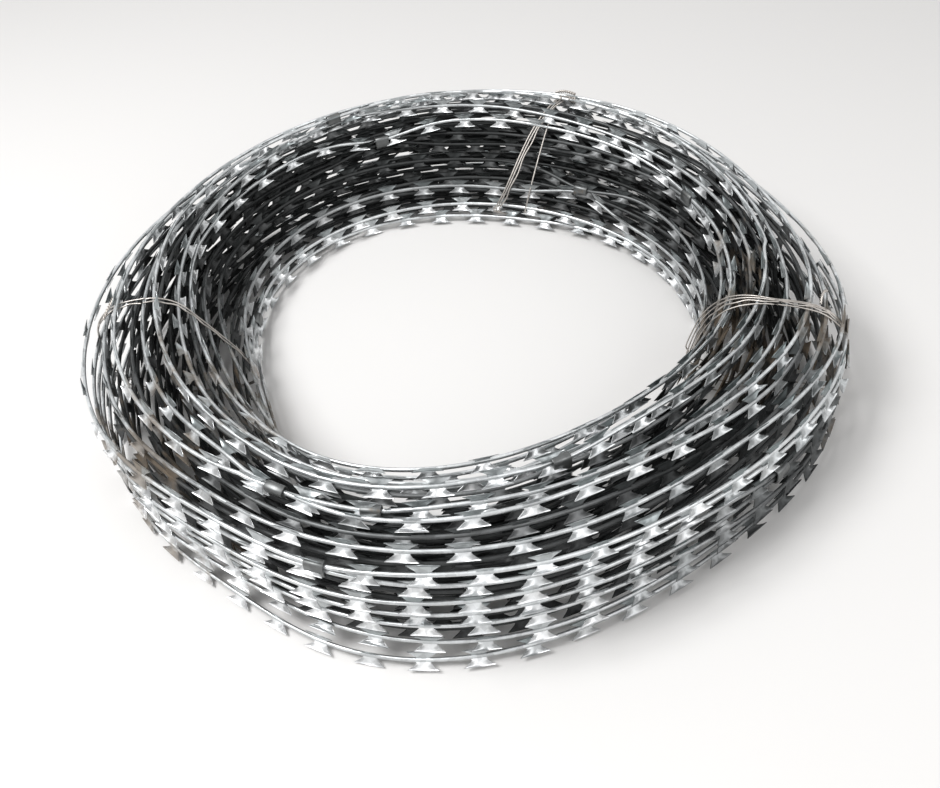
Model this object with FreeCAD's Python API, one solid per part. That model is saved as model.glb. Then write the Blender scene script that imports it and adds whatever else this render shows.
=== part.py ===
import FreeCAD, Part
import math
import os

# Closed coil of concertina razor wire, tied in three places and lying flat. Millimetres, +Z up, origin in the
# middle of its footprint at floor level. The strand is a spring wire with a punched tape rolled round it. Its
# packed turns are one turned solid with a ridge for each turn at the surface, and the turns of the rim and the
# crown carry their blades. The lowest turn has sprung out of the bundle at the front.

# strand
TAPE_WIDTH = 15.0  # across the strand, over the blades of both sides
TAPE_THICKNESS = 0.5
STRAND_WIDTH = 4.0
BLADE_PITCH = 33.0
BLADE_LENGTH = 18.0  # point to point, along the strand
BLADE_NECK = 7.0

# coil
RIM_RADIUS = 265.0
BUNDLE_WIDTH = 91.0  # from the rim to the bore
RIM_TURNS = 4
RIM_PITCH = 22.5
CROWN_HEIGHT = 105.0  # top of the crown's strands, below their blades
CROWN_SETBACK = 21.5  # of the crown's outermost turn from the rim
CROWN_TURNS = 3
CROWN_PITCH = 19.5
SHOULDER_HEIGHT = 54.0  # where the bore's wall starts to lean back to the crown
BORE_TURNS = 2
FOOT_TURNS = 3
FOOT_WIDTH = 3.0  # flat that the outermost and innermost turns of the underside rest on
FOOT_INSET = 6.0
GROOVE_DEPTH = 10.0
FOOT_GROOVE_DEPTH = 5.0

# turn sprung out at the front
SPRUNG_TIGHTER = 14.0  # how much smaller its radius is than the rim's
SPRUNG_REACH = 14.0  # how far it stands clear of the rim
SPRUNG_DIRECTION = 243.0
SPRUNG_SPAN = 150.0
SPRUNG_CLEAR = 116.0  # part of the span that is clear of the rim and carries blades

# clips, which pinch a surface turn to the one behind it
CLIP_LENGTH = 12.0
CLIP_THICKNESS = 1.2
CLIP_REACH = 3.0
CLIP_CLEARANCE = 0.1
RIM_CLIPS = ((1, 205.0), (2, 231.0), (1, 262.0), (2, 283.0), (1, 318.0), (3, 348.0))  # turn and angle
CROWN_CLIPS = (48.0, 96.0, 118.0, 134.0, 152.0, 289.0)

# ties, each a wire closed round the section with its ends twisted into a tail
TIE_DIAMETER = 1.8
TIE_CLEARANCE = 0.25
TIE_CORNER = 1.0
TIE_ANGLES = {"tie_wire_right": -7.0, "tie_wire_rear": 66.0, "tie_wire_left": 176.0}
TAIL_LENGTH = 20.0
TAIL_SLOPE = 0.05
TAIL_DIAMETER = 3.4

BORE_RADIUS = RIM_RADIUS - BUNDLE_WIDTH
SPRUNG_RADIUS = RIM_RADIUS - SPRUNG_TIGHTER
TIP = (TAPE_WIDTH - STRAND_WIDTH) / 2  # height of a blade above its strand
HALF = STRAND_WIDTH / 2
FIRST_TURN = TAPE_WIDTH / 2
BLADE_RADIUS = RIM_RADIUS - HALF
TIE_OFFSET = TIE_DIAMETER / 2 + TIE_CLEARANCE
TIE_ROOM = 2 * TIE_OFFSET
AXIS = FreeCAD.Vector(0, 0, 1)
UP = AXIS
OUT = FreeCAD.Vector(1, 0, 0)
ORIGIN = FreeCAD.Vector(0, 0, 0)


def rim_height(turn):
    """Height of the wire of a turn of the rim."""
    return FIRST_TURN + RIM_PITCH * turn


def crown_radius(turn):
    """Radius of the wire of a turn of the crown, from the outermost inwards."""
    return RIM_RADIUS - CROWN_SETBACK - CROWN_PITCH * turn


def spaced(first, last, count):
    """Evenly spaced values from first to last."""
    return [first + (last - first) * k / (count - 1) for k in range(count)]


def rim_turn(turn):
    """Tip of a turn of the rim, the way it faces and the width of its tip. The lowest has no blades."""
    return FreeCAD.Vector(RIM_RADIUS, 0, rim_height(turn)), OUT, STRAND_WIDTH if turn else 0.0


def crown_turn(turn):
    """The same of a turn of the crown. Only the outermost has blades."""
    return FreeCAD.Vector(crown_radius(turn), 0, CROWN_HEIGHT), UP, 0.0 if turn else STRAND_WIDTH


def surface_turns():
    """Every turn at the surface, from the bore along the underside, up the rim, over the crown and down the bore."""
    turns = []
    for k, radius in enumerate(spaced(BORE_RADIUS + FOOT_INSET, RIM_RADIUS - FOOT_INSET, FOOT_TURNS)):
        foot = k in (0, FOOT_TURNS - 1)
        tip = FreeCAD.Vector(radius, 0, 0.0 if foot else TIE_ROOM)
        turns.append((tip, UP * -1, FOOT_WIDTH if foot else 0.0))
    turns += [rim_turn(k) for k in range(RIM_TURNS)]
    turns += [crown_turn(k) for k in range(CROWN_TURNS)]
    for height in spaced(SHOULDER_HEIGHT, FIRST_TURN, BORE_TURNS):
        turns.append((FreeCAD.Vector(BORE_RADIUS, 0, height), OUT * -1, 0.0))
    return turns


def section():
    """Closed outline of the bundle: a rib for each turn with blades, a ridge or foot for the others.

    The ridges have a groove between them. Between ribs the groove runs straight from root to root.
    """
    points = []
    turns = surface_turns()
    for (tip, facing, width), (after, next_facing, next_width) in zip(turns, turns[1:] + turns[:1]):
        along = FreeCAD.Vector(-facing.z, 0, facing.x) * (width / 2)
        points += [tip - along, tip + along] if width else [tip]
        if width == STRAND_WIDTH:
            points.insert(-2, tip - along - facing * GROOVE_DEPTH)
            points.append(tip + along - facing * GROOVE_DEPTH)
        elif next_width != STRAND_WIDTH and (after - tip).Length > TAPE_WIDTH:
            depth = FOOT_GROOVE_DEPTH if facing.z < 0 else GROOVE_DEPTH
            points.append((tip + after) * 0.5 - (facing + next_facing) * (depth / 2))
    return [(point.x, point.z) for point in points]


def turned(outline, start=0.0, span=360.0):
    """Solid turned from a closed outline of (radius, height) points."""
    wire = Part.makePolygon([FreeCAD.Vector(r, 0, z) for r, z in outline + outline[:1]])
    body = Part.Face(wire).revolve(ORIGIN, AXIS, span)
    body.rotate(ORIGIN, AXIS, start)
    return body


def blade_count(radius, span=360.0):
    """Blades along a turn at the pitch of the tape."""
    return round(math.radians(span) * radius / BLADE_PITCH)


def gap_near(angle, radius):
    """Angle of the gap between two blades of a turn that is nearest to an angle."""
    step = 360.0 / blade_count(radius)
    return round(angle / step) * step


def blade(radius, base, reach):
    """One dovetail blade of the tape: a narrow neck on the strand and two sharp points."""
    outline = [
        (-BLADE_NECK / 2, base), (BLADE_NECK / 2, base),
        (BLADE_LENGTH / 2, base + reach), (-BLADE_LENGTH / 2, base + reach),
    ]
    points = [FreeCAD.Vector(radius - TAPE_THICKNESS / 2, y, z) for y, z in outline]
    return Part.Face(Part.makePolygon(points + points[:1])).extrude(FreeCAD.Vector(TAPE_THICKNESS, 0, 0))


def blades(radius, height, sides, start=0.0, span=360.0):
    """Blades along a turn. Sides are 1 for upward ones and -1 for downward ones."""
    count = blade_count(radius, span)
    row = []
    for side in sides:
        pattern = blade(radius, height + side * HALF, side * TIP)
        for k in range(count):
            copy = pattern.copy()
            copy.rotate(ORIGIN, AXIS, start + span * (k + 0.5) / count)
            row.append(copy)
    return row


def sprung_turn():
    """Arc of the lowest turn that has sprung out of the bundle at the front, with its blades."""
    start = SPRUNG_DIRECTION - SPRUNG_SPAN / 2
    inner, outer = SPRUNG_RADIUS - HALF, SPRUNG_RADIUS + HALF
    low, high = FIRST_TURN - HALF, FIRST_TURN + HALF
    arc = turned([(inner, low), (outer, low), (outer, high), (inner, high)], start, SPRUNG_SPAN)
    margin = (SPRUNG_SPAN - SPRUNG_CLEAR) / 2
    teeth = blades(SPRUNG_RADIUS, FIRST_TURN, (1, -1), start + margin, SPRUNG_CLEAR)
    direction = math.radians(SPRUNG_DIRECTION)
    shift = RIM_RADIUS + SPRUNG_REACH - outer
    place = FreeCAD.Vector(math.cos(direction), math.sin(direction), 0) * shift
    return [piece.translated(place) for piece in [arc] + teeth]


def tie_notch(angle):
    """Room under the feet for a tie, which lifts the turns it passes under."""
    length = RIM_RADIUS - BORE_RADIUS
    room = Part.makeBox(length, TIE_ROOM, TIE_ROOM, FreeCAD.Vector(BORE_RADIUS, -TIE_OFFSET, 0))
    room.rotate(ORIGIN, AXIS, angle)
    return room


def coil():
    """The packed turns with the bore, the bladed turns and the sprung one."""
    body = turned(section())
    teeth = []
    for turn in range(1, RIM_TURNS):
        teeth += blades(BLADE_RADIUS, rim_height(turn), (1, -1))
    teeth += blades(crown_radius(0), CROWN_HEIGHT - HALF, (1,))
    return body.fuse(teeth + sprung_turn()).cut([tie_notch(angle) for angle in tie_angles().values()])


def tie_angles():
    """Where the ties cross the crown, each between two blades."""
    return {name: gap_near(angle, crown_radius(0)) for name, angle in TIE_ANGLES.items()}


def chamfered(points, run):
    """Closed wire through (x, z) points with its corners cut."""
    corners = [FreeCAD.Vector(x, 0, z) for x, z in points]
    route = []
    for k, corner in enumerate(corners):
        for neighbour in (corners[k - 1], corners[(k + 1) % len(corners)]):
            route.append(corner + (neighbour - corner).normalize() * run)
    return Part.makePolygon(route[1:] + route[:2])


def hexagon(edge, diameter):
    """Six-sided wire profile across the start of an edge of a path."""
    middle = edge.valueAt(edge.FirstParameter)
    heading = edge.tangentAt(edge.FirstParameter)
    arm = heading.cross(FreeCAD.Vector(1, 0, 0) if abs(heading.x) < abs(heading.y) else FreeCAD.Vector(0, 1, 0))
    arm = arm.normalize() * (diameter / 2)
    points = [middle + FreeCAD.Rotation(heading, 60 * k).multVec(arm) for k in range(6)]
    return Part.makePolygon(points + points[:1])


def tie(angle):
    """Wire drawn tight round the section, with its twisted tail bent down along the crown's first groove."""
    rim_top = rim_height(RIM_TURNS - 1) + HALF + TIE_OFFSET
    crown_top = CROWN_HEIGHT + TIE_OFFSET
    outer, inner = RIM_RADIUS + TIE_OFFSET, BORE_RADIUS - TIE_OFFSET
    path = [
        (inner, TIE_OFFSET), (outer, TIE_OFFSET), (outer, rim_top),
        (crown_radius(0) + HALF + TIE_OFFSET, crown_top),
        (crown_radius(CROWN_TURNS - 1) - TIE_OFFSET, crown_top), (inner, SHOULDER_HEIGHT + TIE_OFFSET),
    ]
    wire = chamfered(path, TIE_CORNER)
    loop = wire.makePipeShell([hexagon(wire.Edges[0], TIE_DIAMETER)], True, False, 1)
    root = FreeCAD.Vector(crown_radius(0.5), 0, crown_top)
    stem = Part.makeLine(root, root + FreeCAD.Vector(0, 1, -TAIL_SLOPE).normalize() * TAIL_LENGTH)
    tail = Part.Wire(stem).makePipeShell([hexagon(stem, TAIL_DIAMETER)], True, False)
    body = loop.fuse(tail)
    body.rotate(ORIGIN, AXIS, angle)
    return body


def clip(rib, degrees):
    """Band bent over the rib of a turn, in a gap between its blades."""
    tip, facing, width = rib
    along = FreeCAD.Vector(-facing.z, 0, facing.x)

    def bend(skin):
        half = width / 2 + skin
        corners = ((-half, -CLIP_REACH), (-half, skin), (half, skin), (half, -CLIP_REACH))
        return [tip + along * x + facing * y for x, y in corners]

    points = bend(CLIP_CLEARANCE) + bend(CLIP_CLEARANCE + CLIP_THICKNESS)[::-1]
    span = math.degrees(CLIP_LENGTH / tip.x)
    gap = gap_near(degrees, tip.x - facing.x * HALF)
    return turned([(point.x, point.z) for point in points], gap - span / 2, span)


def clips():
    """All the clips, as solids that don't touch."""
    bands = [clip(rim_turn(turn), degrees) for turn, degrees in RIM_CLIPS]
    return Part.makeCompound(bands + [clip(crown_turn(0), degrees) for degrees in CROWN_CLIPS])


nodes = {"coil": coil(), "clips": clips()}
nodes.update((name, tie(angle)) for name, angle in tie_angles().items())
footprint = Part.makeCompound(list(nodes.values())).BoundBox
home = FreeCAD.Vector(-footprint.Center.x, -footprint.Center.y, 0)
print("axis of the coil:", home)
os.makedirs("parts", exist_ok=True)
for name, shape in nodes.items():
    shape.translated(home).exportStep(f"parts/{name}.step")
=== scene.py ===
import math

import bpy
import numpy as np
from mathutils import Matrix, Vector

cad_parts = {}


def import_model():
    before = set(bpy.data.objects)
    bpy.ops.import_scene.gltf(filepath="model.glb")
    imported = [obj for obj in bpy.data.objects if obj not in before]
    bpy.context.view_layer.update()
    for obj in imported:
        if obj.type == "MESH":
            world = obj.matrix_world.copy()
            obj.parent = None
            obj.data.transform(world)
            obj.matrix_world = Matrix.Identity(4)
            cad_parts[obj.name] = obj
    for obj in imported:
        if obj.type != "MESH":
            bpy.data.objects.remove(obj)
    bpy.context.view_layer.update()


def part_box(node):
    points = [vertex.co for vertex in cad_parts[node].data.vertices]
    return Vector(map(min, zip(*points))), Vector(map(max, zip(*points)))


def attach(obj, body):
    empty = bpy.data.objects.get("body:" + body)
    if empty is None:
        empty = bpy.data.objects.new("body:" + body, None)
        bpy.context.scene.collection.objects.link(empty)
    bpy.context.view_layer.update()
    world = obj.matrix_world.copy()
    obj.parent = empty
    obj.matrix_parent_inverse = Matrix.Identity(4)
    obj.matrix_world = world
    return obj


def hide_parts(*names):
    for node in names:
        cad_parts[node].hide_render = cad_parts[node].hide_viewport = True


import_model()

MM = 0.001
TURN = 2 * math.pi

# The axis of the coil, from the CAD coil: its rim touches the box at both sides and at the rear.
COIL_LOW, COIL_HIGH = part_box("coil")
RIM = (COIL_HIGH.x - COIL_LOW.x) / 2
AXIS = np.array([(COIL_LOW.x + COIL_HIGH.x) / 2, COIL_HIGH.y - RIM, 0.0])

# Strand: tape rolled round a spring wire, with a pair of blades at each pitch.
PITCH = 33 * MM
STEPS = 8  # stretches of strand in a pitch
SIDES = 8
STRAND_THICK = 1.3 * MM  # half size through the tape
STRAND_TALL = 1.5 * MM  # half size across the tape
BLADE_RISE = 5.6 * MM
BLADE_HALF_TIP = 9.5 * MM
BLADE_HALF_NECK = 3.7 * MM
BLADE_HALF_BASE = 5.6 * MM
SHEET = 0.5 * MM
BLADE_ROOT = 0.55  # share of the strand's half size at which a blade starts
BLADE_FOOT = 0.3  # share of the rise over which the foot flares
BLADE_SIDES_FROM = 0.15  # share of the rise at which the sides start to spread
BLADE_SIDES_POWER = 1.3
BLADE_BOW = 0.05  # bulge of the edge between the points, as a share of the rise
BLADE_CURL = 0.4  # what the tip leans more than the foot, as a share of the lean

# How the strand and its blades turn away from upright, outwards being positive.
TWIST = math.radians(13)  # spread of the slow twist along the strand
LEAN_LOW = math.radians(38)  # of the lower blades, towards the light
LEAN_HIGH = math.radians(6)  # of the upper ones
LEAN_FAR = math.radians(70)  # more of the upper ones at the rear, inwards
LEAN_NEAR = math.radians(45)  # more of the upper ones on the eye's side at the front
LEAN_SPREAD = math.radians(9)
BENT_SHARE = 0.05  # of the lower blades are bent
BENT_SPREAD = math.radians(30)

# Brightness between the dark and the bright coat: of the strand, and of a blade at least and by chance.
# The lower blades are painted bright as if lit and the upper ones dark as if shaded: painted light and painted
# shade.
STRAND_TONE = 0.55
LOW_BLADE_LIT_TONE = 0.62
HIGH_BLADE_SHADED_TONE = 0.1
TONE_SPREAD = 0.35

# Bundle: turns in columns from the bore to the rim. Shares are of the crown's height.
COLUMN_TURNS = (5, 6, 6, 7, 7, 7, 6, 7)
COLUMN_TOPS = (0.60, 0.80, 0.93, 1.0, 1.0, 0.99, 0.95, 0.85)
FLOOR_GAP = 6.8 * MM  # from the floor to the wire of the lowest turns
HIGHEST = COIL_HIGH.z - 5.5 * MM  # of the wire of the topmost turns
INSET = 2 * MM  # from the eye's edge and from the rim to the wire
CROSSING = 0.14  # share of a turn in which the strand passes to its next place
CROSSING_JITTER = 0.1
SWAY_OUT = 4.2 * MM  # spread of the random course outwards
SWAY_UP = 3.6 * MM
VALLEY_DEPTH = 37 * MM  # how far the upper inner turns stand back where they do so fully
RECESS_DEPTH = 6 * MM  # of the lower rim behind the sprung turn
RECESS_AT = 236.0
SPRUNG_AT = 246.0
SPRUNG_REACH = 6 * MM
SPRUNG_LIFT = 2 * MM  # away from the place where it stands out most
SPRUNG_NARROWING = 2.3  # how many times narrower than half a turn the sprung arc is
PINCH_BELL = 0.38  # width of the bell in which a clip draws two turns together, as a share of its reach
PINCH_GAP = 2.1 * MM  # from the middle of a pinched pair to each wire
KNOTS = 9  # changes of course in a turn
SAMPLES = 720  # points of a turn before it is cut to pitches
PINCH_REACH = SAMPLES // 14
SEED = 11


def series(theta, mean, *pairs):
    """The mean plus, for each order k, the cosine and sine of k times the angle by its two amounts."""
    total = np.full_like(theta, mean)
    for k, (along, across) in enumerate(pairs, 1):
        total = total + along * np.cos(k * theta) + across * np.sin(k * theta)
    return total


def away_from(theta, degrees):
    """Angle from a direction, in degrees from -180 to 180."""
    return (np.degrees(theta) - degrees + 180) % 360 - 180


def hump(theta, degrees, width):
    """Bell round a direction: e to the minus square of the angle from it over the width."""
    return np.exp(-((away_from(theta, degrees) / width) ** 2))


def ease(x):
    """Smooth step: 3x squared less 2x cubed, held between nought and one."""
    x = np.clip(x, 0.0, 1.0)
    return x * x * (3 - 2 * x)


def rim_radius(theta):
    """Outer radius round the coil."""
    shape = series(theta, 264.5, (-0.1, 2.4), (1.5, -3.2))
    shape = shape + 12 * hump(theta, -15, 24) - 11 * hump(theta, -58, 26) - 6 * hump(theta, 228, 16)
    return MM * shape


def bore_radius(theta):
    """Radius of the eye round the coil: a rounded triangle, tighter at the left and the lower right."""
    return MM * series(theta, 177.7, (5.4, 19.6), (-6.9, 1.6), (9.2, 3.6))


def crown_height(theta):
    """Height of the crown's blades round the coil."""
    return MM * series(theta, 107.1, (-4.2, -0.2), (-5.5, 3.9))


def wander(rng, turns, size):
    """Slow random course along all the turns: cubic blend through one random value at each knot."""
    values = rng.normal(0.0, size, turns * KNOTS + 4)
    place = np.arange(turns * SAMPLES) * (KNOTS / SAMPLES)
    first = place.astype(int)
    t = place - first
    shares = (1 - t) ** 3, 3 * t**3 - 6 * t**2 + 4, 3 * t + 3 * t**2 - 3 * t**3 + 1, t**3
    return sum(values[first + k] * share for k, share in enumerate(shares)) / 6


def slots():
    """(share from bore to rim, share up the column, top share) of each turn, up and down column by column.

    The turns of every other inner column lie half a step higher, in the hollows of their neighbours.
    """
    rows = []
    for column, (count, top) in enumerate(zip(COLUMN_TURNS, COLUMN_TOPS)):
        across = column / (len(COLUMN_TURNS) - 1)
        nested = 0 < column < len(COLUMN_TURNS) - 1 and column % 2 == 0
        steps = [(k + 0.5) / count if nested else k / (count - 1) for k in range(count)]
        rise = [(across, step, top) for step in steps]
        rows += rise[::-1] if column % 2 else rise
    return np.array(rows)


def strand_course(rng):
    """Centre line of the whole strand, turn after turn, before the clips pinch it.

    Radius is the bore's plus a share of the bundle's width, and height a share of the crown's. From one turn to
    the next the shares pass over by a smooth step. Slow random courses are added, and the last turn springs out.
    """
    places = slots()
    turns = len(places)
    u = np.arange(turns * SAMPLES) / SAMPLES
    theta = TURN * u
    jitter = rng.uniform(-CROSSING_JITTER, CROSSING_JITTER, turns + 1)
    now = np.clip(u.astype(int), 0, turns - 1)
    after = np.clip(now + 1, 0, turns - 1)
    blend = ease((u - now - (1 - CROSSING) - jitter[now]) / CROSSING)[:, None]
    across, up, top = (places[now] * (1 - blend) + places[after] * blend).T
    inner, outer, crown = bore_radius(theta) + INSET, rim_radius(theta) - INSET, crown_height(theta)
    top = top + 0.07 * hump(theta, 270, 60) * (1 - across)
    ceiling = crown * top - FLOOR_GAP
    z = FLOOR_GAP + (ceiling - FLOOR_GAP) * up
    r = inner + (outer - inner) * across
    level = z / crown
    valley = series_valley(theta) * ease((level - 0.28) / 0.22) * (1 - across) ** 1.2
    r = r + VALLEY_DEPTH * valley
    r = r - RECESS_DEPTH * across**4 * hump(theta, RECESS_AT, 17) * (1 - level)
    r = r + wander(rng, turns, SWAY_OUT) * (1 - 0.7 * across)
    z = z + wander(rng, turns, SWAY_UP)
    last = ease((u - (turns - 1.0)) / 0.05)
    away = np.radians(away_from(theta, SPRUNG_AT))
    out = np.cos(np.clip(away * SPRUNG_NARROWING, -math.pi / 2, math.pi / 2))
    r = r + last * SPRUNG_REACH * out**2
    z = z * (1 - last) + last * (FLOOR_GAP + SPRUNG_LIFT * (1 - out))
    return theta, r, np.clip(z, FLOOR_GAP, HIGHEST), across, level


def series_valley(theta):
    """Share by which the upper inner turns stand back: one at the far left, nought at the near side."""
    shape = 1.1 * hump(theta, 118, 62) + 0.3 * hump(theta, 40, 30) - 0.4 * hump(theta, 275, 80)
    return np.clip(0.25 + shape, 0, 1)


def pinch(r, z, clips):
    """Draws turn k and the one after it to their middle at each clip, within a bell of a few degrees."""
    for turn, degrees in clips:
        u = turn * SAMPLES + int(degrees / 360 * SAMPLES)
        near = np.arange(max(u - PINCH_REACH, 0), min(u + PINCH_REACH, len(r) - SAMPLES))
        bell = np.exp(-(((near - u) / (PINCH_REACH * PINCH_BELL)) ** 2))
        for line, gap in ((r, 0.0), (z, PINCH_GAP)):
            here, there = line[near].copy(), line[near + SAMPLES].copy()
            middle = (here + there) / 2
            side = np.sign(there - here)
            line[near] += bell * (middle - side * gap - here)
            line[near + SAMPLES] += bell * (middle + side * gap - there)
    return r, np.maximum(z, FLOOR_GAP)


def along_strand(theta, r, z, *others):
    """Cuts the centre line to equal steps of its own length, and carries other values with it."""
    line = np.stack([r * np.cos(theta), r * np.sin(theta), z], 1) + AXIS
    length = np.concatenate([[0.0], np.cumsum(np.linalg.norm(np.diff(line, axis=0), axis=1))])
    count = int(length[-1] / PITCH) * STEPS + 1
    at = np.arange(count) * (PITCH / STEPS)
    carried = [np.interp(at, length, value) for value in (*line.T, *others)]
    return np.stack(carried[:3], 1), carried[3:]


def frames(line, twist):
    """Tangent, outward normal and upward normal at each step, turned round the tangent by the twist."""
    tangent = np.gradient(line, axis=0)
    tangent /= np.linalg.norm(tangent, axis=1)[:, None]
    outward = (line - AXIS) * [1, 1, 0]
    outward -= (outward * tangent).sum(1)[:, None] * tangent
    outward /= np.linalg.norm(outward, axis=1)[:, None]
    upward = np.cross(outward, tangent)
    c, s = np.cos(twist)[:, None], np.sin(twist)[:, None]
    return tangent, c * outward + s * upward, c * upward - s * outward


def grid_faces(rows, columns, wrap=False):
    """Four-sided faces of a grid of points, joined round at the last column where it wraps."""
    across = np.arange(columns if wrap else columns - 1)
    i, j = np.meshgrid(np.arange(rows - 1), across, indexing="ij")
    k = (j + 1) % columns
    corners = i * columns + j, i * columns + k, (i + 1) * columns + k, (i + 1) * columns + j
    return np.stack(corners, -1).reshape(-1, 4)


def tube(line, outward, upward, thick, tall, sides):
    """Points round the line: outward by cosine times thick and upward by sine times tall."""
    angle = np.arange(sides) * (TURN / sides)
    ring = outward[:, None] * (np.cos(angle) * thick)[:, None]
    ring = ring + upward[:, None] * (np.sin(angle) * tall)[:, None]
    return (line[:, None] + ring).reshape(-1, 3), grid_faces(len(line), sides, wrap=True)


def blade_half_width(t):
    """Half width of a blade at share t of its rise: a flared foot, a neck, then concave sides to the points."""
    foot = (BLADE_HALF_BASE - BLADE_HALF_NECK) * np.clip(1 - t / BLADE_FOOT, 0, 1) ** 2
    spread = np.clip((t - BLADE_SIDES_FROM) / (1 - BLADE_SIDES_FROM), 0, 1) ** BLADE_SIDES_POWER
    return BLADE_HALF_NECK + foot + (BLADE_HALF_TIP - BLADE_HALF_NECK) * spread


def blade_sheets(line, tangent, outward, upward, side, lean):
    """Blades on one side of the strand, each a thin plate of two grids with its rim closed.

    A point is its strand point, plus the tangent by s times the half width, plus the upward normal by the rise
    times t and the cosine of the lean, plus the outward normal by the rise times t and the sine of the lean.
    The lean grows with the square of t, and the edge between the points bulges.
    """
    t = np.array([0.0, 0.22, 0.5, 0.78, 1.0])
    s = np.array([-1.0, 0.0, 1.0])
    width = blade_half_width(t)
    bow = 1 + BLADE_BOW * (1 - s**2)
    angle = lean[:, None] * (1 + BLADE_CURL * t**2)
    rise = BLADE_RISE * t
    points = []
    for face in (-0.5, 0.5):
        along = tangent[:, None, None] * (width[:, None] * s)[None, :, :, None]
        up = side * (STRAND_TALL * BLADE_ROOT + rise[None] * np.cos(angle))[:, :, None]
        up = up * np.where(t[:, None] == 1, bow, 1)
        out = (rise[None] * np.sin(angle))[:, :, None] + face * SHEET + 0 * s
        lifted = upward[:, None, None] * up[..., None] + outward[:, None, None] * out[..., None]
        points.append(line[:, None, None] + along + lifted)
    rows, columns = len(t), len(s)
    count = rows * columns
    front = grid_faces(rows, columns)
    rim = [r * columns for r in range(rows)] + [(rows - 1) * columns + 1]
    rim += [r * columns + columns - 1 for r in range(rows - 1, -1, -1)]
    rim = np.array(rim)
    wall = np.stack([rim[:-1], rim[1:], rim[1:] + count, rim[:-1] + count], 1)
    plate = np.concatenate([front[:, ::-1], front + count, wall])
    if side < 0:
        plate = plate[:, ::-1]
    faces = (plate[None] + 2 * count * np.arange(len(line))[:, None, None]).reshape(-1, 4)
    return np.stack(points, 1).reshape(-1, 3), faces


def new_piece(name, parts):
    """Joins (points, faces, values of the point attributes) into one mesh object."""
    start, points, faces, values = 0, [], [], {}
    for p, f, attributes in parts:
        points.append(p)
        faces.append(f + start)
        start += len(p)
        for key, value in attributes.items():
            values.setdefault(key, []).append(np.broadcast_to(value, len(p)))
    points, faces = np.concatenate(points), np.concatenate(faces)
    mesh = bpy.data.meshes.new(name)
    mesh.vertices.add(len(points))
    mesh.vertices.foreach_set("co", points.astype(np.float32).ravel())
    mesh.loops.add(faces.size)
    mesh.loops.foreach_set("vertex_index", faces.astype(np.int32).ravel())
    mesh.polygons.add(len(faces))
    mesh.polygons.foreach_set("loop_start", np.arange(0, faces.size, 4, dtype=np.int32))
    mesh.update(calc_edges=True)
    mesh.polygons.foreach_set("use_smooth", np.full(len(faces), True))
    for key, value in values.items():
        layer = mesh.attributes.new(key, "FLOAT", "POINT")
        layer.data.foreach_set("value", np.concatenate(value).astype(np.float32))
    mesh.validate()
    piece = bpy.data.objects.new(name, mesh)
    bpy.context.scene.collection.objects.link(piece)
    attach(piece, "root")
    return piece


# Clip: a band with rings at places along it, each with its skin over the inner wall, in millimetres.
CLIP_SIDES = 20
CLIP_HALF_WIDE = 2.4 * MM
CLIP_OVER = 2.6 * MM  # from a pinched wire to the inner wall of the band
CLIP_RINGS = ((-6, 0.0), (-6, 0.8), (-5.6, 1.0), (5.6, 1.0), (6, 0.8), (6, 0.0), (-6, 0.0))
CLIP_RUST = 0.5

# Turn and angle of each clip: on the crown, down the bore and on the rim.
CLIPS = (
    (30, 241.0), (29, 255.0), (17, 285.0), (16, 111.0), (4, 102.0),
    (0, 158.0), (2, 54.0), (4, 27.0),
    (44, 249.0), (48, 205.0), (46, 318.0), (45, 345.0),
)


def painted_shade_of_turns(theta, across, level):
    """Painted shade of a turn, by how deep it lies: nought at the crown, the rim and the bore, one from the
    second turn inwards.

    The turns that stand back in the valley get the full painted shade too, because hardly any light reaches them,
    and so do the lower ones at the right front, where the rim overhangs. The coat is painted almost black by this
    amount, as shade.
    Levels are shares of the crown's height.
    """
    top = np.interp(across, np.arange(len(COLUMN_TOPS)) / (len(COLUMN_TOPS) - 1), COLUMN_TOPS) - 0.08
    columns = len(COLUMN_TOPS) - 1
    nearest = np.minimum.reduce([(1 - across) * columns, across * columns, (top - level) * 7])
    pit = ease((level - 0.26) / 0.08) * ease((0.72 - level) / 0.1) * ease((0.7 - across) / 0.2)
    pit = pit * series_valley(theta)
    undercut = 0.92 * hump(theta, -36, 30) * ease((0.66 - level) / 0.18)
    return np.clip(np.maximum.reduce([ease(nearest / 1.15), pit, undercut]), 0, 1)


def soil(theta):
    """Where the yard's dirt clings: at the left and round the right tie."""
    return np.clip(hump(theta, 207, 24) + hump(theta, -14, 20), 0, 1)


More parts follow.
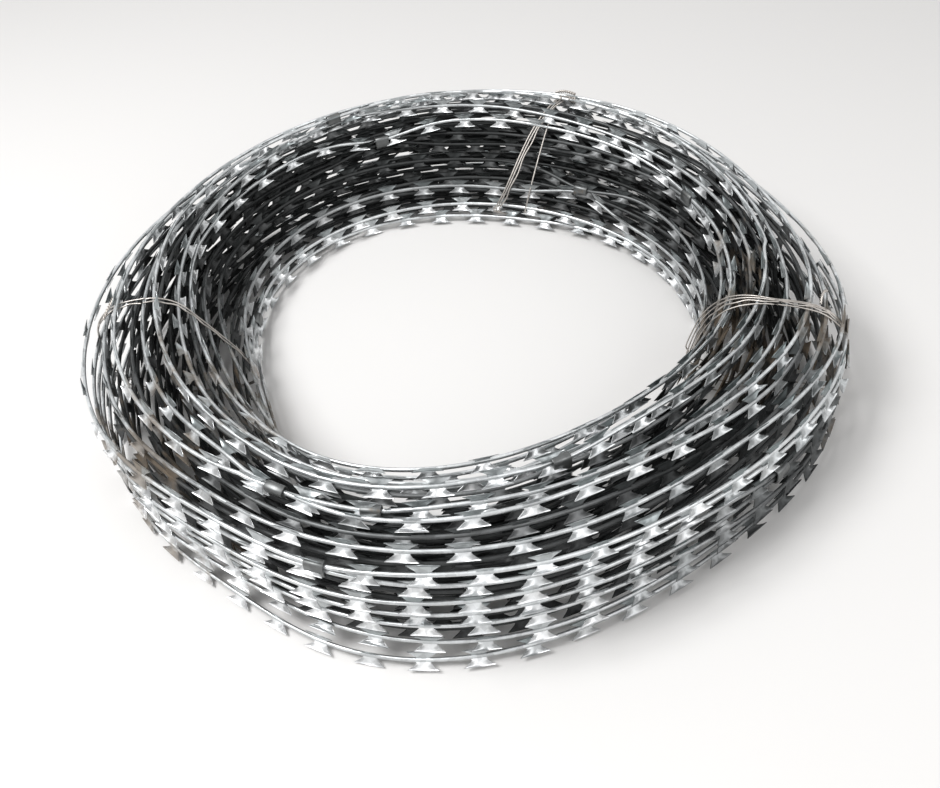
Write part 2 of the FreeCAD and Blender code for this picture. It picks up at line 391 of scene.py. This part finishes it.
def strand_pieces():
    """The strand of the whole coil, in three pieces of its length."""
    rng = np.random.default_rng(SEED)
    theta, r, z, across, level = strand_course(rng)
    r, z = pinch(r, z, CLIPS)
    course = theta, r, z
    turns = len(theta) // SAMPLES
    twist = wander(rng, turns, TWIST)
    # Painted shade: the coat of turns deep inside, standing back in the valley or under the overhanging rim is
    # darkened towards black.
    painted_shade = painted_shade_of_turns(theta, across, level)
    line, (theta, twist, across, painted_shade) = along_strand(theta, r, z, theta, twist, across, painted_shade)
    tangent, outward, upward = frames(line, twist)
    facing = np.clip(0.9 * np.abs(np.cos(theta)) * (across - 0.5) - np.sin(theta), -1, 1)
    at = np.arange(STEPS // 2, len(line), STEPS)
    lean_low = LEAN_LOW * facing[at] + rng.normal(0, LEAN_SPREAD, len(at))
    lean_high = LEAN_HIGH * facing[at] + rng.normal(0, LEAN_SPREAD, len(at))
    lean_high = lean_high - LEAN_FAR * hump(theta[at], 85, 85) * ease((across[at] - 0.3) / 0.3)
    lean_high = lean_high + LEAN_NEAR * hump(theta[at], 270, 60) * ease((0.45 - across[at]) / 0.2)
    bent = rng.random(len(at)) < BENT_SHARE
    lean_low = lean_low + bent * rng.normal(0, BENT_SPREAD, len(at))
    # Random tone of each pair of blades, less a painted shade at the right front, under the overhanging rim.
    tone_and_painted_light = rng.uniform(0, 1, len(at)) - 0.9 * hump(theta[at], -32, 34)
    soiled = soil(theta)
    pieces = []
    cuts = np.linspace(0, len(at), 4).astype(int)
    for number, (low, high) in enumerate(zip(cuts[:-1], cuts[1:]), 1):
        span = slice(low * STEPS, high * STEPS + 1)
        body = tube(line[span], outward[span], upward[span], STRAND_THICK, STRAND_TALL, SIDES)
        parts = [(*body, {
            "tone_and_painted_light": STRAND_TONE, "painted_shade": np.repeat(painted_shade[span], SIDES), "soil": np.repeat(soiled[span], SIDES),
        })]
        chosen = at[low:high]
        # Lower blades take the painted light tone, upper ones the painted shade tone.
        for side, lean, least in ((-1, lean_low, LOW_BLADE_LIT_TONE), (1, lean_high, HIGH_BLADE_SHADED_TONE)):
            sheets = blade_sheets(
                line[chosen], tangent[chosen], outward[chosen], upward[chosen], side, lean[low:high]
            )
            each = len(sheets[0]) // len(chosen)
            shade = tone_and_painted_light[low:high] * TONE_SPREAD + least
            parts.append((*sheets, {
                "tone_and_painted_light": np.repeat(shade, each), "painted_shade": np.repeat(painted_shade[chosen], each),
                "soil": np.repeat(soiled[chosen], each),
            }))
        pieces.append(new_piece(f"strand_{number}", parts))
    return pieces, course


# Ties: wires closed round the section, and a twisted tail of each tie on the crown.
TIE_SIDES = 6
TIE_LIFT = 0.4  # least lift of a wire over the section, in millimetres
TIE_WAVE = 0.6  # sway of the wavy wires, in millimetres
TIE_FLOOR_GAP = 2 * MM
TIE_SHARES = (0.0, 0.375, 0.56, 0.8, 1.0)  # shares of the way round: foot, crown, crown, rim and foot
MIDDLE_RADIUS = 0.2  # at which the sway of a wire is measured
TAIL_ACROSS = 0.78  # share of the way from the bore to the rim
TAIL_LENGTH = 20 * MM
TAIL_TURNS = 4.5


def outline(theta):
    """Corners of the section at an angle, as drawn in by a tie: bore, shoulder, crown, rim and underside."""
    angle = np.array([theta])
    bore, rim, crown = bore_radius(angle)[0], rim_radius(angle)[0], crown_height(angle)[0] - 5 * MM
    back = VALLEY_DEPTH * series_valley(angle)[0]
    return np.array([
        (bore, 5 * MM), (bore, crown * 0.30),
        (bore + 6 * MM + back, crown * 0.74), (bore + 28 * MM + back * 0.8, crown),
        (rim - 28 * MM, crown), (rim - 9 * MM, crown * 0.88),
        (rim + 1 * MM, crown * 0.66), (rim + 1 * MM, 5 * MM),
    ])


def cut_corners(points, times):
    """Closed line with each corner cut at a quarter and three quarters of its sides, again and again."""
    for _ in range(times):
        after = np.roll(points, -1, axis=0)
        pair = np.stack([0.75 * points + 0.25 * after, 0.25 * points + 0.75 * after], 1)
        points = pair.reshape(len(points) * 2, -1)
    return points


def tie_wire(angles, lift, radius, wave):
    """One wire of a tie, closed round the section at its angles at the bore's foot, the crown and the rim.

    It lies outside the section by the lift, and sways sixteen times by the wave, in millimetres.
    """
    section = cut_corners(outline(math.radians(angles[1])), 4)
    share = np.linspace(0, 1, len(section))
    foot, crown, rim = angles
    theta = np.radians(np.interp(share, TIE_SHARES, [foot, crown, crown, rim, foot]))
    theta = theta + wave * MM / MIDDLE_RADIUS * np.sin(16 * TURN * share)
    middle = section.mean(0)
    grown = section + (section - middle) / np.linalg.norm(section - middle, axis=1)[:, None] * lift
    height = np.maximum(grown[:, 1], TIE_FLOOR_GAP)
    line = np.stack([grown[:, 0] * np.cos(theta), grown[:, 0] * np.sin(theta), height], 1)
    line = np.concatenate([line, line[:2]]) + AXIS
    tangent, outward, upward = frames(line, np.zeros(len(line)))
    side = np.cross(tangent, outward)
    return tube(line, outward, side, radius, radius, TIE_SIDES)


def tail(degrees, radius):
    """Two wire ends twisted together on the crown: a pair of helices that wind round a bent line."""
    theta = math.radians(degrees)
    angle = np.array([theta])
    bore, rim, crown = bore_radius(angle)[0], rim_radius(angle)[0], crown_height(angle)[0] - 4 * MM
    r = bore + (rim - bore) * TAIL_ACROSS
    start = np.array([r * math.cos(theta), r * math.sin(theta), crown]) + AXIS
    run = np.linspace(0, 1, 40)[:, None]
    along = np.array([-math.sin(theta), math.cos(theta), 0])
    out = np.array([math.cos(theta), math.sin(theta), 0])
    bend = out * 0.25 * run**2 + np.array([0, 0, 1]) * (0.3 * run - 0.5 * run**2)
    core = start + TAIL_LENGTH * (along * run + bend)
    tangent, outward, upward = frames(core, np.zeros(len(core)))
    parts = []
    for phase in (0.0, math.pi):
        turn = run * TAIL_TURNS * TURN + phase
        line = core + (outward * np.cos(turn) + upward * np.sin(turn)) * radius
        parts.append(tube(line, outward, upward, radius, radius, TIE_SIDES))
    return parts


def clip_band(here, there, tangent):
    """Band closed round two strands: a rounded oblong carried along them, its wall closed at both ends."""
    up = (there - here) / np.linalg.norm(there - here)
    across = np.cross(tangent, up)
    angle = np.arange(CLIP_SIDES) * (TURN / CLIP_SIDES)
    tall = np.linalg.norm(there - here) / 2 + CLIP_OVER
    c, s = np.cos(angle), np.sin(angle)
    oblong = [np.sign(c) * np.abs(c) ** 0.7, np.sign(s) * np.abs(s) ** 0.6]
    middle = (here + there) / 2
    rings = []
    for along, skin in CLIP_RINGS:
        wide, high = CLIP_HALF_WIDE + skin * MM, tall + skin * MM
        ring = across * (oblong[0] * wide)[:, None] + up * (oblong[1] * high)[:, None]
        rings.append(middle + tangent * along * MM + ring)
    points = np.concatenate(rings)
    return points, grid_faces(len(rings), CLIP_SIDES, wrap=True)[:, ::-1], {"rust": CLIP_RUST}


def clip_pieces(theta, r, z):
    """Clips on the pinched pairs of turns, all in one piece."""
    parts = []
    for turn, degrees in CLIPS:
        u = turn * SAMPLES + int(degrees / 360 * SAMPLES)
        at = np.array([u, u + 3, u + SAMPLES])
        line = np.stack([r[at] * np.cos(theta[at]), r[at] * np.sin(theta[at]), z[at]], 1) + AXIS
        tangent = (line[1] - line[0]) / np.linalg.norm(line[1] - line[0])
        parts.append(clip_band(line[0], line[2], tangent))
    return new_piece("clip_bands", parts)


# Angle of each tie's twisted tail, its wires' radius in millimetres, its rust, and for each wire the angles of
# its foot, crown and rim, its lift in millimetres and whether it is wavy.
TIES = {
    "tie_wire_right": (-17.5, 0.55, 0.45, (
        ((-7, -17, -17), 0.1, 0), ((-10.5, -17.4, -17.6), 0.4, 0),
        ((-14, -17.8, -16.6), 0.2, 1), ((-19, -18.4, -17.2), 0.0, 0),
    )),
    "tie_wire_rear": (60.0, 0.7, 0.15, (
        ((76, 60, 62), 0.3, 0), ((75.3, 59.4, 62.4), 0.6, 1),
        ((68, 62.5, 62), 0.1, 0), ((76.6, 60.6, 61.5), 0.5, 0),
    )),
    "tie_wire_left": (179.0, 0.6, 0.1, (((182, 181, 178), -1.2, 1), ((181, 180, 179), -0.8, 0))),
}


def tie_pieces():
    """The ties, each of several wires of its own with one twisted tail."""
    pieces = []
    for name, (degrees, radius, rust, wires) in TIES.items():
        parts = [
            tie_wire(angles, (TIE_LIFT + lift) * MM, radius * MM, TIE_WAVE * wavy) for angles, lift, wavy in wires
        ]
        parts += tail(degrees, radius * MM)
        piece = new_piece(name + "_wires", [(*part, {"rust": rust}) for part in parts])
        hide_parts(name)
        pieces.append(piece)
    return pieces


class Nodes:
    """Short hand for placing and joining the nodes of a tree. Sockets go by number, as i0, or by name."""

    def __init__(self, tree):
        self.tree = tree

    def add(self, kind, settings=None, **sockets):
        node = self.tree.nodes.new(kind)
        for key, value in (settings or {}).items():
            setattr(node, key, value)
        for key, value in sockets.items():
            numbered = key[0] == "i" and key[1:].isdigit()
            socket = node.inputs[int(key[1:]) if numbered else key.replace("_", " ")]
            if isinstance(value, bpy.types.NodeSocket):
                self.tree.links.new(value, socket)
            else:
                socket.default_value = value
        return node

    def mix(self, factor, first, second, how="MIX"):
        node = self.add("ShaderNodeMix", {"data_type": "RGBA", "blend_type": how}, i0=factor, i6=first, i7=second)
        return node.outputs[2]

    def math(self, how, first, second=0.0, third=0.0):
        settings = {"operation": how}
        return self.add("ShaderNodeMath", settings, i0=first, i1=second, i2=third).outputs[0]

    def span(self, value, low, high, to_low=0.0, to_high=1.0):
        return self.add("ShaderNodeMapRange", None, i0=value, i1=low, i2=high, i3=to_low, i4=to_high).outputs[0]


def effect(name, inputs, outputs):
    """Empty shader group with named inputs (name, default) and outputs (name, kind of socket)."""
    group = bpy.data.node_groups.new(name, "ShaderNodeTree")
    for label, value in inputs:
        kind = "NodeSocketColor" if isinstance(value, tuple) else "NodeSocketFloat"
        group.interface.new_socket(label, in_out="INPUT", socket_type=kind).default_value = value
    for label, kind in outputs:
        group.interface.new_socket(label, in_out="OUTPUT", socket_type=kind)
    nodes = Nodes(group)
    return group, nodes, nodes.add("NodeGroupInput").outputs, nodes.add("NodeGroupOutput").inputs


def zinc_effect():
    """Zinc coat: patches of crystals of their own brightness, dulled by fine speckle."""
    group, n, given, result = effect(
        "zinc coat",
        [("Patch", 220.0), ("Contrast", 0.3)],
        [("Shade", "NodeSocketFloat"), ("Dullness", "NodeSocketFloat")],
    )
    place = n.add("ShaderNodeTexCoord").outputs["Object"]
    crystals = n.add("ShaderNodeTexVoronoi", None, Vector=place, Scale=given["Patch"]).outputs["Color"]
    crystal = n.add("ShaderNodeSeparateColor", None, i0=crystals).outputs[0]
    speckle = n.add("ShaderNodeTexNoise", None, Vector=place, Scale=900.0, Detail=3.0).outputs[0]
    cloud = n.add("ShaderNodeTexNoise", None, Vector=place, Scale=38.0, Detail=4.0).outputs[0]
    blend = n.math("ADD", n.math("MULTIPLY", crystal, 0.4), n.math("MULTIPLY", cloud, 0.9))
    blend = n.math("ADD", blend, n.math("MULTIPLY", speckle, 0.3))
    shade = n.math("MULTIPLY_ADD", n.math("SUBTRACT", blend, 0.8), given["Contrast"], 1.0)
    n.tree.links.new(shade, result["Shade"])
    n.tree.links.new(n.span(cloud, 0.35, 0.7), result["Dullness"])
    return group


def dirt_effect():
    """Yard dirt and rust: patches by noise that spread with the amount, brown of two shades."""
    group, n, given, result = effect(
        "yard dirt",
        [("Amount", 0.3), ("Scale", 24.0)],
        [("Mask", "NodeSocketFloat"), ("Colour", "NodeSocketColor")],
    )
    place = n.add("ShaderNodeTexCoord").outputs["Object"]
    noise = n.add("ShaderNodeTexNoise", None, Vector=place, Scale=given["Scale"], Detail=6.0, Roughness=0.65)
    noise = noise.outputs[0]
    hue = n.add("ShaderNodeTexNoise", None, Vector=place, Scale=130.0, Detail=2.0).outputs[0]
    edge = n.math("SUBTRACT", 0.78, n.math("MULTIPLY", given["Amount"], 0.4))
    mask = n.span(noise, edge, n.math("ADD", edge, 0.1))
    n.tree.links.new(mask, result["Mask"])
    n.tree.links.new(n.mix(hue, (0.055, 0.045, 0.035, 1), (0.20, 0.15, 0.10, 1)), result["Colour"])
    return group


ZINC, DIRT = zinc_effect(), dirt_effect()


def use(n, group, **sockets):
    """Places a shader group in a material's tree."""
    node = n.add("ShaderNodeGroup", {"node_tree": group})
    for key, value in sockets.items():
        node.inputs[key.replace("_", " ")].default_value = value
    return node.outputs


def dirt_input(outputs):
    """The amount socket of the dirt group that these outputs belong to."""
    return outputs["Mask"].node.inputs["Amount"]


def tape_finish():
    """Galvanised tape: bright where it is clean and near the surface, painted almost black deep inside as shade.
    """
    material = bpy.data.materials.new("galvanised tape")
    material.use_nodes = True
    n = Nodes(material.node_tree)
    shader = material.node_tree.nodes["Principled BSDF"]
    tone_and_painted_light = n.add("ShaderNodeAttribute", {"attribute_name": "tone_and_painted_light"}).outputs["Fac"]
    painted_shade = n.add("ShaderNodeAttribute", {"attribute_name": "painted_shade"}).outputs["Fac"]
    zinc = use(n, ZINC, Patch=240.0, Contrast=0.7)
    soil_mask = n.add("ShaderNodeAttribute", {"attribute_name": "soil"}).outputs["Fac"]
    dirt = use(n, DIRT, Scale=16.0)
    n.tree.links.new(n.span(soil_mask, 0.0, 1.0, 0.22, 0.85), dirt_input(dirt))
    # Coat from dark to bright by the tone: random tone, plus painted light on the lower blades and painted shade
    # on the upper ones and at the right front.
    clean = n.mix(tone_and_painted_light, (0.18, 0.21, 0.215, 1), (0.92, 0.93, 0.94, 1))
    coat = n.add("ShaderNodeVectorMath", {"operation": "SCALE"}, i0=clean)
    material.node_tree.links.new(zinc["Shade"], coat.inputs["Scale"])
    # Painted shade: the coat is mixed towards near black for turns that lie deep, stand back in the valley or sit
    # under the overhang.
    shaded_coat = n.mix(n.math("MULTIPLY", painted_shade, 0.94), coat.outputs[0], (0.012, 0.013, 0.013, 1))
    colour = n.mix(n.math("MULTIPLY", dirt["Mask"], 0.8), shaded_coat, dirt["Colour"])
    material.node_tree.links.new(colour, shader.inputs["Base Color"])
    rough = n.math("ADD", n.span(zinc["Dullness"], 0.0, 1.0, 0.30, 0.48), n.math("MULTIPLY", dirt["Mask"], 0.3))
    rough = n.math("ADD", rough, n.math("MULTIPLY", painted_shade, 0.25))
    material.node_tree.links.new(rough, shader.inputs["Roughness"])
    material.node_tree.links.new(n.span(dirt["Mask"], 0.0, 1.0, 0.85, 0.2), shader.inputs["Metallic"])
    return material


def wire_finish(name, clean, amount):
    """Soft wire or strip, dull grey with rust."""
    material = bpy.data.materials.new(name)
    material.use_nodes = True
    n = Nodes(material.node_tree)
    shader = material.node_tree.nodes["Principled BSDF"]
    zinc = use(n, ZINC, Patch=300.0, Contrast=0.5)
    rust = n.add("ShaderNodeAttribute", {"attribute_name": "rust"}).outputs["Fac"]
    dirt = use(n, DIRT, Scale=60.0)
    n.tree.links.new(n.math("MULTIPLY", rust, amount), dirt_input(dirt))
    coat = n.add("ShaderNodeVectorMath", {"operation": "SCALE"}, i0=clean)
    material.node_tree.links.new(zinc["Shade"], coat.inputs["Scale"])
    colour = n.mix(dirt["Mask"], coat.outputs[0], dirt["Colour"])
    material.node_tree.links.new(colour, shader.inputs["Base Color"])
    material.node_tree.links.new(n.span(dirt["Mask"], 0.0, 1.0, 0.9, 0.3), shader.inputs["Metallic"])
    material.node_tree.links.new(n.span(zinc["Dullness"], 0.0, 1.0, 0.32, 0.5), shader.inputs["Roughness"])
    return material


strands, course = strand_pieces()
galvanised = tape_finish()
for piece in strands:
    piece.data.materials.append(galvanised)
    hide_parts("coil")
bands = clip_pieces(*course)
bands.data.materials.append(wire_finish("clip strip", (0.15, 0.155, 0.155), 1.0))
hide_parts("clips")
rusty = wire_finish("tie wire", (0.48, 0.45, 0.42), 0.9)
for piece in tie_pieces():
    piece.data.materials.append(rusty)


SKY_LIGHT = 0.45  # strength at which the surroundings light the coil
SENSOR = 36.0
IMAGE_WIDTH = 940  # pixels


def floor():
    """Pale floor round the coil."""
    mesh = bpy.data.meshes.new("floor")
    size = 12.0
    corners = [(-size, -size, 0), (size, -size, 0), (size, size, 0), (-size, size, 0)]
    mesh.from_pydata(corners, [], [(0, 1, 2, 3)])
    ground = bpy.data.objects.new("floor", mesh)
    bpy.context.scene.collection.objects.link(ground)
    pale = bpy.data.materials.new("pale floor")
    pale.use_nodes = True
    pale.node_tree.nodes["Principled BSDF"].inputs["Base Color"].default_value = (0.80, 0.79, 0.78, 1)
    pale.node_tree.nodes["Principled BSDF"].inputs["Roughness"].default_value = 0.9
    mesh.materials.append(pale)


def world():
    """Even pale surroundings, seen as white directly and in reflections."""
    sky = bpy.data.worlds.new("studio")
    bpy.context.scene.world = sky
    sky.use_nodes = True
    n = Nodes(sky.node_tree)
    rays = n.add("ShaderNodeLightPath").outputs
    mirrored = n.math("MAXIMUM", rays["Is Glossy Ray"], rays["Is Transmission Ray"])
    seen = n.math("MAXIMUM", rays["Is Camera Ray"], mirrored)
    background = sky.node_tree.nodes["Background"]
    background.inputs["Color"].default_value = (1, 1, 1, 1)
    sky.node_tree.links.new(n.span(seen, 0.0, 1.0, SKY_LIGHT, 1.0), background.inputs["Strength"])


def lamp(name, place, size, power):
    """Square soft lamp that faces the middle of the coil."""
    data = bpy.data.lights.new(name, "AREA")
    data.size = size
    data.energy = power
    light = bpy.data.objects.new(name, data)
    bpy.context.scene.collection.objects.link(light)
    aim = Vector((0, 0, 0.05)) - Vector(place)
    light.matrix_world = Matrix.Translation(place) @ aim.to_track_quat("-Z", "Y").to_matrix().to_4x4()


def camera(elevation, distance, focal_pixels, aim, roll):
    """Camera that looks along +Y and down by the elevation, at the aim, rolled about its own axis."""
    e, a = math.radians(elevation), math.radians(roll)
    forward = Vector((0, math.cos(e), -math.sin(e)))
    level, lift = Vector((1, 0, 0)), Vector((0, math.sin(e), math.cos(e)))
    right = level * math.cos(a) + lift * math.sin(a)
    top = lift * math.cos(a) - level * math.sin(a)
    data = bpy.data.cameras.new("photo view")
    data.sensor_width = SENSOR
    data.lens = SENSOR * focal_pixels / IMAGE_WIDTH
    eye = bpy.data.objects.new("photo view", data)
    bpy.context.scene.collection.objects.link(eye)
    turn = Matrix((right, top, -forward)).transposed().to_4x4()
    eye.matrix_world = Matrix.Translation(Vector(aim) - forward * distance) @ turn
    bpy.context.scene.camera = eye


floor()
world()
lamp("key", (-0.9, -0.3, 1.6), 0.8, 30)
lamp("fill", (1.2, -1.0, 1.0), 1.2, 8)
camera(44.6, 0.6628, 969.8, Vector(AXIS) + Vector((0.0043, -0.0882, 0.0562)), -6.3)

bpy.context.scene.view_settings.view_transform = "Standard"
